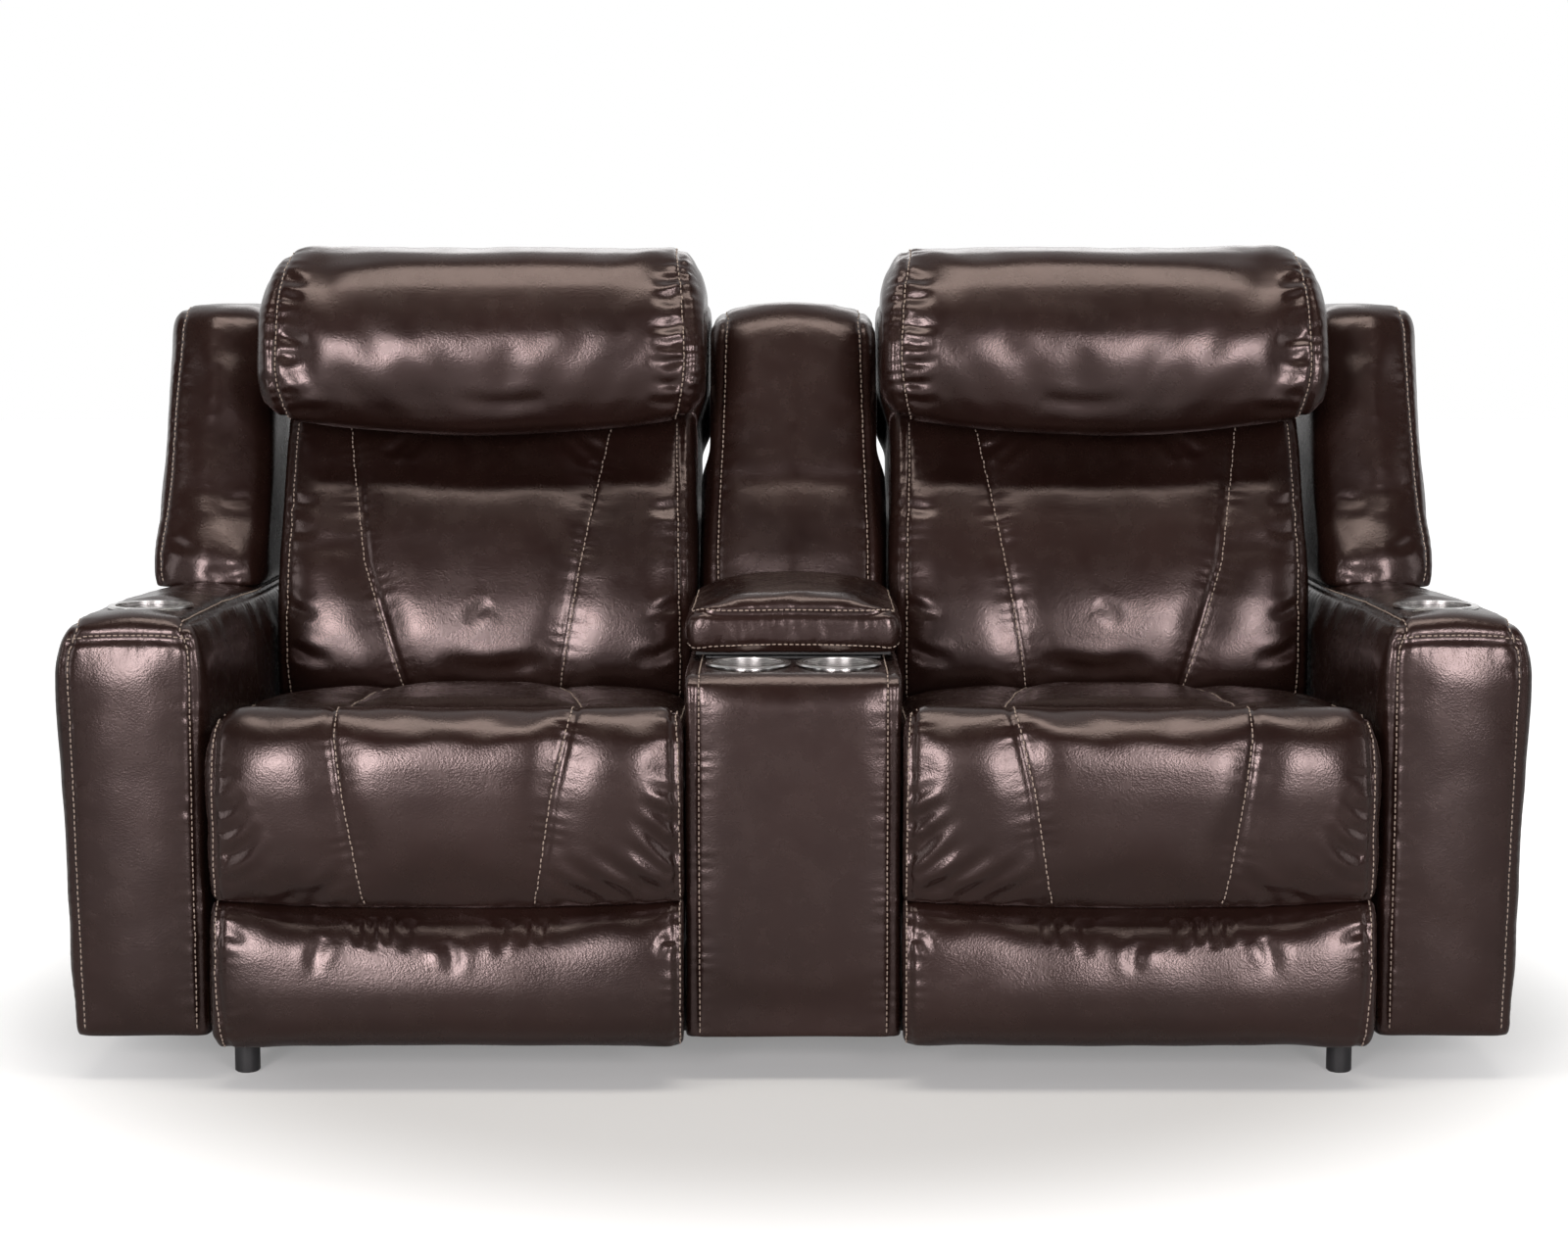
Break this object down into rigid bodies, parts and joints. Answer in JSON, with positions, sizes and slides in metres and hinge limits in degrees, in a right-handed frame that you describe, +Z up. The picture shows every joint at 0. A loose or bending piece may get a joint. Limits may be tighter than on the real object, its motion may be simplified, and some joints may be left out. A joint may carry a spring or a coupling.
{
  "type": "reclining sofa with storage console",
  "caption": "Reclining leather loveseat with a storage console, padded arms with cup holders, fold-out leg rests, tilting headrests and a lift-up console lid.",
  "frame": {"origin": "on the floor, under the middle of the overall box", "axes": "+X along the sofa, +Y towards its back, +Z up; the front faces -Y"},
  "size_m": [1.84, 0.96, 1.055],
  "materials": {
    "leather": "semi-gloss dark brown leather with taupe stitching",
    "brushed_steel": "brushed stainless steel",
    "frame_board": "plywood and sawn softwood",
    "lining": "black lining cloth over board",
    "zinc_steel": "zinc plated",
    "black_steel": "black powder coat",
    "rocker_plastic": "moulded satin",
    "black_plastic": "moulded satin"
  },
  "bodies": {
    "base": {"arm_cover_left": "leather", "arm_cover_right": "leather", "arm_cup_holder_left": "brushed_steel", "arm_cup_holder_right": "brushed_steel", "arm_frame_left": "frame_board", "arm_frame_right": "frame_board", "base_front_rail": "lining", "base_rear_rail": "lining", "base_side_rails": "lining", "centre_back": "leather", "console_bin": "black_plastic", "console_body": "leather", "console_cup_holder_left": "brushed_steel", "console_cup_holder_right": "brushed_steel", "control_bezels": "black_plastic", "feet": "black_plastic", "lid_hinge_posts": "black_steel", "mechanism_plates": "black_steel", "power_inlet": "black_plastic", "rear_skirt_board": "lining", "recline_motors": "black_plastic", "seat_bolster_left": "leather", "seat_bolster_right": "leather", "seat_cushion_left": "leather", "seat_cushion_right": "leather", "seat_frame_left": "frame_board", "seat_frame_right": "frame_board", "seat_springs": "zinc_steel", "wing_left": "leather", "wing_right": "leather"},
    "leg_rest_left": {"legrest_board_left": "frame_board", "legrest_brackets_left": "black_steel", "chaise_pad_left": "leather", "footrest_pad_left": "leather"},
    "drive_left": {"drive_shaft_left": "black_steel"},
    "bars_left": {"push_bars_left": "zinc_steel"},
    "back_left": {"back_frame_left": "black_steel", "back_cushion_left": "leather", "back_shell_left": "leather"},
    "headrest_left": {"headrest_pillow_left": "leather", "headrest_bracket_left": "black_steel"},
    "recline_rocker_left": {"recline_rocker_left": "rocker_plastic"},
    "headrest_rocker_left": {"headrest_rocker_left": "rocker_plastic"},
    "leg_rest_right": {"legrest_board_right": "frame_board", "legrest_brackets_right": "black_steel", "chaise_pad_right": "leather", "footrest_pad_right": "leather"},
    "drive_right": {"drive_shaft_right": "black_steel"},
    "bars_right": {"push_bars_right": "zinc_steel"},
    "back_right": {"back_frame_right": "black_steel", "back_cushion_right": "leather", "back_shell_right": "leather"},
    "headrest_right": {"headrest_pillow_right": "leather", "headrest_bracket_right": "black_steel"},
    "recline_rocker_right": {"recline_rocker_right": "rocker_plastic"},
    "headrest_rocker_right": {"headrest_rocker_right": "rocker_plastic"},
    "lid": {"lid_pad": "leather", "lid_board": "lining", "lid_hinge_leaves": "black_steel"}
  },
  "joints": [
    {"name": "leg_rest_left", "type": "hinge", "parent": "base", "child": "leg_rest_left", "pos_m": [-0.4295, -0.448, 0.345], "axis": [-1, 0, 0], "range_deg": [0, 85]},
    {"name": "drive_left", "type": "hinge", "parent": "base", "child": "drive_left", "pos_m": [-0.4295, -0.262, 0.3], "axis": [-1, 0, 0], "range_deg": [0, 85]},
    {"name": "bars_left", "type": "hinge", "parent": "drive_left", "child": "bars_left", "pos_m": [-0.4295, -0.202, 0.185], "axis": [-1, 0, 0], "range_deg": [-85, 0]},
    {"name": "back_left", "type": "hinge", "parent": "base", "child": "back_left", "pos_m": [-0.4295, 0.12, 0.35], "axis": [-1, 0, 0], "range_deg": [0, 32]},
    {"name": "headrest_left", "type": "hinge", "parent": "back_left", "child": "headrest_left", "pos_m": [-0.4295, 0.095, 0.905], "axis": [1, 0, 0], "range_deg": [0, 30]},
    {"name": "recline_rocker_left", "type": "hinge", "parent": "base", "child": "recline_rocker_left", "pos_m": [-0.909, -0.298, 0.45], "axis": [0, 0, 1], "range_deg": [-6, 6], "stiffness_Nm_per_rad": 0.5},
    {"name": "headrest_rocker_left", "type": "hinge", "parent": "base", "child": "headrest_rocker_left", "pos_m": [-0.909, -0.242, 0.45], "axis": [0, 0, 1], "range_deg": [-6, 6], "stiffness_Nm_per_rad": 0.5},
    {"name": "leg_rest_right", "type": "hinge", "parent": "base", "child": "leg_rest_right", "pos_m": [0.4295, -0.448, 0.345], "axis": [-1, 0, 0], "range_deg": [0, 85]},
    {"name": "drive_right", "type": "hinge", "parent": "base", "child": "drive_right", "pos_m": [0.4295, -0.262, 0.3], "axis": [-1, 0, 0], "range_deg": [0, 85]},
    {"name": "bars_right", "type": "hinge", "parent": "drive_right", "child": "bars_right", "pos_m": [0.4295, -0.202, 0.185], "axis": [-1, 0, 0], "range_deg": [-85, 0]},
    {"name": "back_right", "type": "hinge", "parent": "base", "child": "back_right", "pos_m": [0.4295, 0.12, 0.35], "axis": [-1, 0, 0], "range_deg": [0, 32]},
    {"name": "headrest_right", "type": "hinge", "parent": "back_right", "child": "headrest_right", "pos_m": [0.4295, 0.095, 0.905], "axis": [1, 0, 0], "range_deg": [0, 30]},
    {"name": "recline_rocker_right", "type": "hinge", "parent": "base", "child": "recline_rocker_right", "pos_m": [0.909, -0.298, 0.45], "axis": [0, 0, 1], "range_deg": [-6, 6], "stiffness_Nm_per_rad": 0.5},
    {"name": "headrest_rocker_right", "type": "hinge", "parent": "base", "child": "headrest_rocker_right", "pos_m": [0.909, -0.242, 0.45], "axis": [0, 0, 1], "range_deg": [-6, 6], "stiffness_Nm_per_rad": 0.5},
    {"name": "lid", "type": "hinge", "parent": "base", "child": "lid", "pos_m": [0, 0.029, 0.585], "axis": [-1, 0, 0], "range_deg": [0, 75]}
  ],
  "couplings": [
    {"joint": "drive_left", "follows": "leg_rest_left", "ratio": 1},
    {"joint": "bars_left", "follows": "leg_rest_left", "ratio": -1},
    {"joint": "drive_right", "follows": "leg_rest_right", "ratio": 1},
    {"joint": "bars_right", "follows": "leg_rest_right", "ratio": -1}
  ]
}
